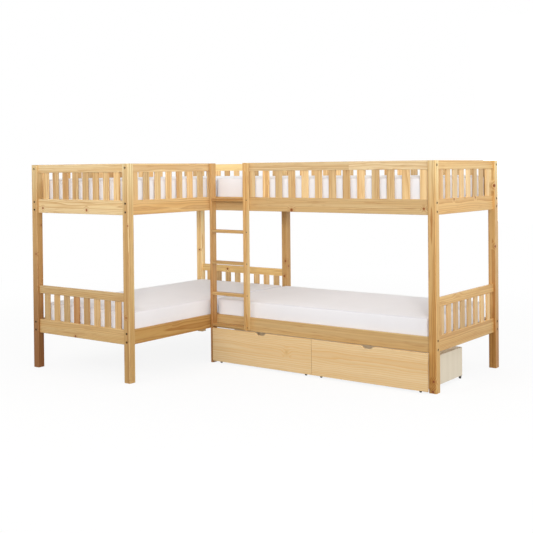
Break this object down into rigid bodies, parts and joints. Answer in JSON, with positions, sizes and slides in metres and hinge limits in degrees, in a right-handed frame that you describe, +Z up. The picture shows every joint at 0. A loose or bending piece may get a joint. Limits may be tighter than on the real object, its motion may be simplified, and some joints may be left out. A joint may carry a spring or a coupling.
{
  "type": "l shaped bunk bed",
  "caption": "Pine bunk bed in an L, with beds above and below in both arms, slatted guards, a ladder in the inner corner and rolling drawers under one arm.",
  "frame": {"origin": "on the floor, under the middle of the bounding box", "axes": "+X runs along the right bunk to its far end, +Y points to the back, away from the ladder's front, +Z points up"},
  "size_m": [3.034, 2.03, 1.6],
  "materials": {
    "pine": "clear lacquered pine with knots, satin",
    "bed_slat_pine": "sawn pine, matt",
    "drawer_front_pine": "pale lacquered pine with the grain level",
    "drawer_box_board": "pale plywood, matt",
    "beech_dowel": "plain beech",
    "mattress_cloth": "white woven cover",
    "dark_steel": "dark bronze plated steel",
    "zinc_steel": "zinc plated steel",
    "wheel_plastic": "dark grey plastic"
  },
  "bodies": {
    "frame": {"post_left_front_outer": "pine", "post_left_front_inner": "pine", "post_left_back_outer": "pine", "post_corner_back": "pine", "post_right_front": "pine", "post_right_back": "pine", "ladder_left_stile": "pine", "ladder_right_stile": "pine", "ladder_rungs": "pine", "rung_dowels": "beech_dowel", "end_rails_left_front": "pine", "end_slats_left_front": "pine", "end_rails_left_back": "pine", "end_slats_left_back": "pine", "end_rails_right": "pine", "end_slats_right": "pine", "guard_rail_left_outer": "pine", "guard_slats_left_outer": "pine", "upper_bed_rail_left_outer": "pine", "guard_rail_left_inner": "pine", "guard_slats_left_inner": "pine", "upper_bed_rail_left_inner": "pine", "guard_rail_right_back": "pine", "guard_slats_right_back": "pine", "upper_bed_rail_right_back": "pine", "guard_rail_right_front": "pine", "guard_slats_right_front": "pine", "upper_bed_rail_right_front": "pine", "lower_bed_rail_left_outer": "pine", "lower_bed_rail_left_inner": "pine", "lower_bed_rail_right_back": "pine", "lower_bed_rail_right_front": "pine", "bed_ledgers": "pine", "bed_slats_upper_left": "bed_slat_pine", "bed_slats_lower_left": "bed_slat_pine", "bed_slats_upper_right": "bed_slat_pine", "bed_slats_lower_right": "bed_slat_pine", "mattress_upper_left": "mattress_cloth", "mattress_lower_left": "mattress_cloth", "mattress_upper_right": "mattress_cloth", "mattress_lower_right": "mattress_cloth", "frame_bolts": "dark_steel", "barrel_nuts": "zinc_steel", "ladder_screws": "dark_steel"},
    "left_drawer": {"drawer_front_left": "drawer_front_pine", "drawer_sides_left": "drawer_box_board", "drawer_back_left": "drawer_box_board", "drawer_bottom_left": "drawer_box_board", "caster_brackets_left": "zinc_steel", "caster_axles_left": "zinc_steel"},
    "right_drawer": {"drawer_front_right": "drawer_front_pine", "drawer_sides_right": "drawer_box_board", "drawer_back_right": "drawer_box_board", "drawer_bottom_right": "drawer_box_board", "caster_brackets_right": "zinc_steel", "caster_axles_right": "zinc_steel"},
    "wheels_front_left": {"wheels_front_left": "wheel_plastic"},
    "wheels_rear_left": {"wheels_rear_left": "wheel_plastic"},
    "wheels_front_right": {"wheels_front_right": "wheel_plastic"},
    "wheels_rear_right": {"wheels_rear_right": "wheel_plastic"}
  },
  "joints": [
    {"name": "left_drawer_slide", "type": "slide", "parent": "frame", "child": "left_drawer", "axis": [0, -1, 0], "range_m": [0, 0.5]},
    {"name": "right_drawer_slide", "type": "slide", "parent": "frame", "child": "right_drawer", "axis": [0, -1, 0], "range_m": [0, 0.5]},
    {"name": "wheels_front_left_turn", "type": "hinge", "parent": "left_drawer", "child": "wheels_front_left", "pos_m": [0.03775, -0.066, 0.01], "axis": [1, 0, 0], "continuous": true},
    {"name": "wheels_rear_left_turn", "type": "hinge", "parent": "left_drawer", "child": "wheels_rear_left", "pos_m": [0.03775, 0.482, 0.01], "axis": [1, 0, 0], "continuous": true},
    {"name": "wheels_front_right_turn", "type": "hinge", "parent": "right_drawer", "child": "wheels_front_right", "pos_m": [0.99425, -0.066, 0.01], "axis": [1, 0, 0], "continuous": true},
    {"name": "wheels_rear_right_turn", "type": "hinge", "parent": "right_drawer", "child": "wheels_rear_right", "pos_m": [0.99425, 0.482, 0.01], "axis": [1, 0, 0], "continuous": true}
  ],
  "couplings": [
    {"joint": "wheels_front_left_turn", "follows": "left_drawer_slide", "rad_per_m": 100},
    {"joint": "wheels_rear_left_turn", "follows": "left_drawer_slide", "rad_per_m": 100},
    {"joint": "wheels_front_right_turn", "follows": "right_drawer_slide", "rad_per_m": 100},
    {"joint": "wheels_rear_right_turn", "follows": "right_drawer_slide", "rad_per_m": 100}
  ]
}
